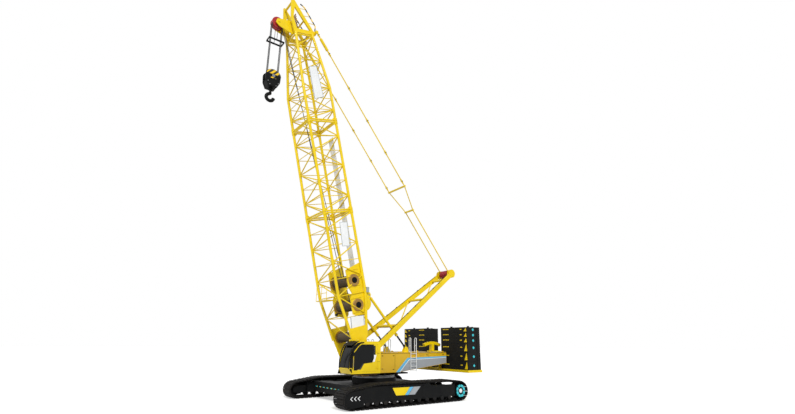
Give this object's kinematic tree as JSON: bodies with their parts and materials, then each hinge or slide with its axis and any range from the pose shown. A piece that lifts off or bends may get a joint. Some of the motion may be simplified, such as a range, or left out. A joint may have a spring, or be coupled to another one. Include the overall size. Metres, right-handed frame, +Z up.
{
  "type": "lattice-boom crawler crane",
  "caption": "Crawler crane on two steel tracks with a slewing upper body, side cab, stacked rear counterweights, luffing lattice boom held by mast and pendants, and a hanging hook block",
  "frame": {"origin": "on the ground, at the middle of the standing crane's bounding box in plan", "axes": "+X forward, the way the cab and boom face; +Y to the crane's left; +Z up"},
  "size_m": [16.5544, 8.2, 27.375],
  "materials": {
    "crane_yellow": "gloss",
    "housing_yellow": "satin",
    "black_paint": "satin",
    "counterweight_black": "matte",
    "track_steel": "matte",
    "drive_teal": "satin",
    "winch_brown": "satin",
    "sheave_red": "satin",
    "rail_white": "satin",
    "bare_steel": "machined",
    "seat_black": "matte",
    "glass": "tinted"
  },
  "bodies": {
    "undercarriage": {"carbody": "black_paint", "slew_ring": "bare_steel", "track_left": "track_steel", "track_right": "track_steel", "crawler_frame_left": "black_paint", "crawler_frame_right": "black_paint"},
    "idler_left": {"idler_left": "track_steel"},
    "idler_right": {"idler_right": "track_steel"},
    "sprocket_left": {"sprocket_left": "drive_teal"},
    "sprocket_right": {"sprocket_right": "drive_teal"},
    "upperworks": {"revolving_frame": "black_paint", "machinery_house_left": "housing_yellow", "machinery_house_right": "housing_yellow", "engine_block": "bare_steel", "counterweight_tray": "crane_yellow", "cab_shell": "crane_yellow", "windscreen": "glass", "right_window": "glass", "rear_window": "glass", "operator_seat": "seat_black", "control_stand": "seat_black", "cab_bracket": "winch_brown", "backstop_bracket_left": "crane_yellow", "backstop_bracket_right": "crane_yellow", "equaliser_beam": "crane_yellow", "access_ladder": "rail_white", "counterweight_stack_left": "counterweight_black", "counterweight_stack_right": "counterweight_black"},
    "cab_door": {"cab_door": "crane_yellow", "door_window": "glass"},
    "boom": {"boom_foot_section": "crane_yellow", "boom_middle_section": "crane_yellow", "boom_top_section": "crane_yellow", "boom_head": "crane_yellow"},
    "head_sheaves": {"head_sheaves": "sheave_red"},
    "hoist_drum_upper": {"hoist_drum_upper": "winch_brown"},
    "hoist_drum_lower": {"hoist_drum_lower": "winch_brown"},
    "luffing_drum": {"luffing_drum": "winch_brown"},
    "mast": {"mast": "crane_yellow"},
    "mast_sheaves": {"mast_sheaves": "sheave_red"},
    "pendants": {"pendants": "crane_yellow"},
    "backstop_tube_left": {"backstop_tube_left": "crane_yellow"},
    "backstop_tube_right": {"backstop_tube_right": "crane_yellow"},
    "backstop_rod_left": {"backstop_rod_left": "black_paint"},
    "backstop_rod_right": {"backstop_rod_right": "black_paint"},
    "hoist_limit_weight": {"hoist_limit_weight": "black_paint"},
    "hook_block": {"hook_block": "black_paint"},
    "block_sheaves": {"block_sheaves": "black_paint"},
    "hook": {"hook": "black_paint"}
  },
  "joints": [
    {"name": "slew", "type": "hinge", "parent": "undercarriage", "child": "upperworks", "pos_m": [-1.1972, 0, 1.39], "axis": [0, 0, 1], "continuous": true},
    {"name": "idler_left_turn", "type": "hinge", "parent": "undercarriage", "child": "idler_left", "pos_m": [2.9728, 3.48, 0.54], "axis": [0, 1, 0], "continuous": true},
    {"name": "sprocket_left_turn", "type": "hinge", "parent": "undercarriage", "child": "sprocket_left", "pos_m": [-5.2972, 3.48, 0.615], "axis": [0, 1, 0], "continuous": true},
    {"name": "idler_right_turn", "type": "hinge", "parent": "undercarriage", "child": "idler_right", "pos_m": [2.9728, -3.48, 0.54], "axis": [0, 1, 0], "continuous": true},
    {"name": "sprocket_right_turn", "type": "hinge", "parent": "undercarriage", "child": "sprocket_right", "pos_m": [-5.2972, -3.48, 0.615], "axis": [0, 1, 0], "continuous": true},
    {"name": "cab_door_swing", "type": "hinge", "parent": "upperworks", "child": "cab_door", "pos_m": [0.4628, 2.782, 2.6], "axis": [0, 0, 1], "range_deg": [0, 95]},
    {"name": "boom_luff", "type": "hinge", "parent": "upperworks", "child": "boom", "pos_m": [0.4028, 0, 2.17], "axis": [0, -1, 0], "range_deg": [-46, 6]},
    {"name": "mast_luff", "type": "hinge", "parent": "upperworks", "child": "mast", "pos_m": [-0.0472, 0, 3.08], "axis": [0, -1, 0], "range_deg": [-50.9, 6.7]},
    {"name": "pendant_pivot", "type": "hinge", "parent": "mast", "child": "pendants", "pos_m": [-7.9472, 0, 8.85], "axis": [0, -1, 0], "range_deg": [-0.7, 4.7]},
    {"name": "mast_sheaves_turn", "type": "hinge", "parent": "mast", "child": "mast_sheaves", "pos_m": [-7.9472, 0, 8.85], "axis": [0, 1, 0], "continuous": true},
    {"name": "hoist_drum_upper_turn", "type": "hinge", "parent": "boom", "child": "hoist_drum_upper", "pos_m": [1.37041, 0, 7.49284], "axis": [0, 1, 0], "continuous": true},
    {"name": "hoist_drum_lower_turn", "type": "hinge", "parent": "boom", "child": "hoist_drum_lower", "pos_m": [0.98398, 0, 5.9196], "axis": [0, 1, 0], "continuous": true},
    {"name": "luffing_drum_turn", "type": "hinge", "parent": "boom", "child": "luffing_drum", "pos_m": [0.83216, 0, 3.91804], "axis": [0, 1, 0], "continuous": true},
    {"name": "head_sheaves_turn", "type": "hinge", "parent": "boom", "child": "head_sheaves", "pos_m": [7.7172, 0, 25.24124], "axis": [0, 1, 0], "continuous": true},
    {"name": "hoist_line_swing", "type": "hinge", "parent": "boom", "child": "hoist_limit_weight", "pos_m": [7.7172, 0, 25.24124], "axis": [0, -1, 0], "range_deg": [-6.5, 46.5]},
    {"name": "hook_hoist", "type": "slide", "parent": "hoist_limit_weight", "child": "hook_block", "axis": [0, 0, 1], "range_m": [0, 2]},
    {"name": "block_sheaves_turn", "type": "hinge", "parent": "hook_block", "child": "block_sheaves", "pos_m": [7.7172, 0, 20.84124], "axis": [0, 1, 0], "continuous": true},
    {"name": "hook_swivel", "type": "hinge", "parent": "hook_block", "child": "hook", "pos_m": [7.7172, 0, 20.04124], "axis": [0, 0, 1], "continuous": true},
    {"name": "backstop_left_pivot", "type": "hinge", "parent": "boom", "child": "backstop_tube_left", "pos_m": [0.1328, 1.11, 6.62], "axis": [0, -1, 0], "range_deg": [-2.6, 17.6]},
    {"name": "backstop_left_slide", "type": "slide", "parent": "backstop_tube_left", "child": "backstop_rod_left", "axis": [-0.6784, 0, -0.7347], "range_m": [-0.32, 2.25]},
    {"name": "backstop_right_pivot", "type": "hinge", "parent": "boom", "child": "backstop_tube_right", "pos_m": [0.1328, -1.11, 6.62], "axis": [0, -1, 0], "range_deg": [-2.6, 17.6]},
    {"name": "backstop_right_slide", "type": "slide", "parent": "backstop_tube_right", "child": "backstop_rod_right", "axis": [-0.6784, 0, -0.7347], "range_m": [-0.32, 2.25]}
  ],
  "couplings": [
    {"joint": "mast_luff", "follows": "boom_luff", "ratio": 1.101},
    {"joint": "pendant_pivot", "follows": "boom_luff", "ratio": -0.097},
    {"joint": "hoist_line_swing", "follows": "boom_luff", "ratio": -1},
    {"joint": "backstop_left_pivot", "follows": "boom_luff", "ratio": -0.37},
    {"joint": "backstop_left_slide", "follows": "boom_luff", "m_per_rad": -2.75},
    {"joint": "backstop_right_pivot", "follows": "boom_luff", "ratio": -0.37},
    {"joint": "backstop_right_slide", "follows": "boom_luff", "m_per_rad": -2.75}
  ]
}
